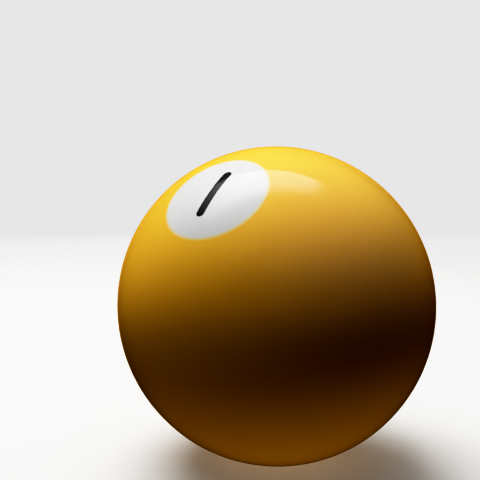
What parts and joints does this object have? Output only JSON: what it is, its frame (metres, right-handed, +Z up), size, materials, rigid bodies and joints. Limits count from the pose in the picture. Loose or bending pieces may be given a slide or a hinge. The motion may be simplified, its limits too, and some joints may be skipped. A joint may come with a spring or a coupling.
{
  "type": "numbered pool ball",
  "caption": "Solid yellow pool ball: a polished sphere with white number discs inlaid at both ends of its number axis, each holding a plain black stroke.",
  "frame": {"origin": "centre of the ball", "axes": "+Z up as the ball lies; the number axis is in the YZ plane, tilted 45 degrees from +Z, so the front disc faces -Y and up and the back disc faces +Y and down"},
  "size_m": [0.0572, 0.0572, 0.0572],
  "materials": {
    "body_resin": "solid golden yellow cast phenolic resin, polished to a high gloss",
    "disc_resin": "white cast phenolic resin, polished flush with the ball",
    "numeral_resin": "black cast phenolic resin, polished flush with its disc"
  },
  "bodies": {
    "root": {"ball_body": "body_resin", "number_disc_front": "disc_resin", "number_disc_back": "disc_resin", "numeral_front": "numeral_resin", "numeral_back": "numeral_resin"}
  },
  "joints": []
}
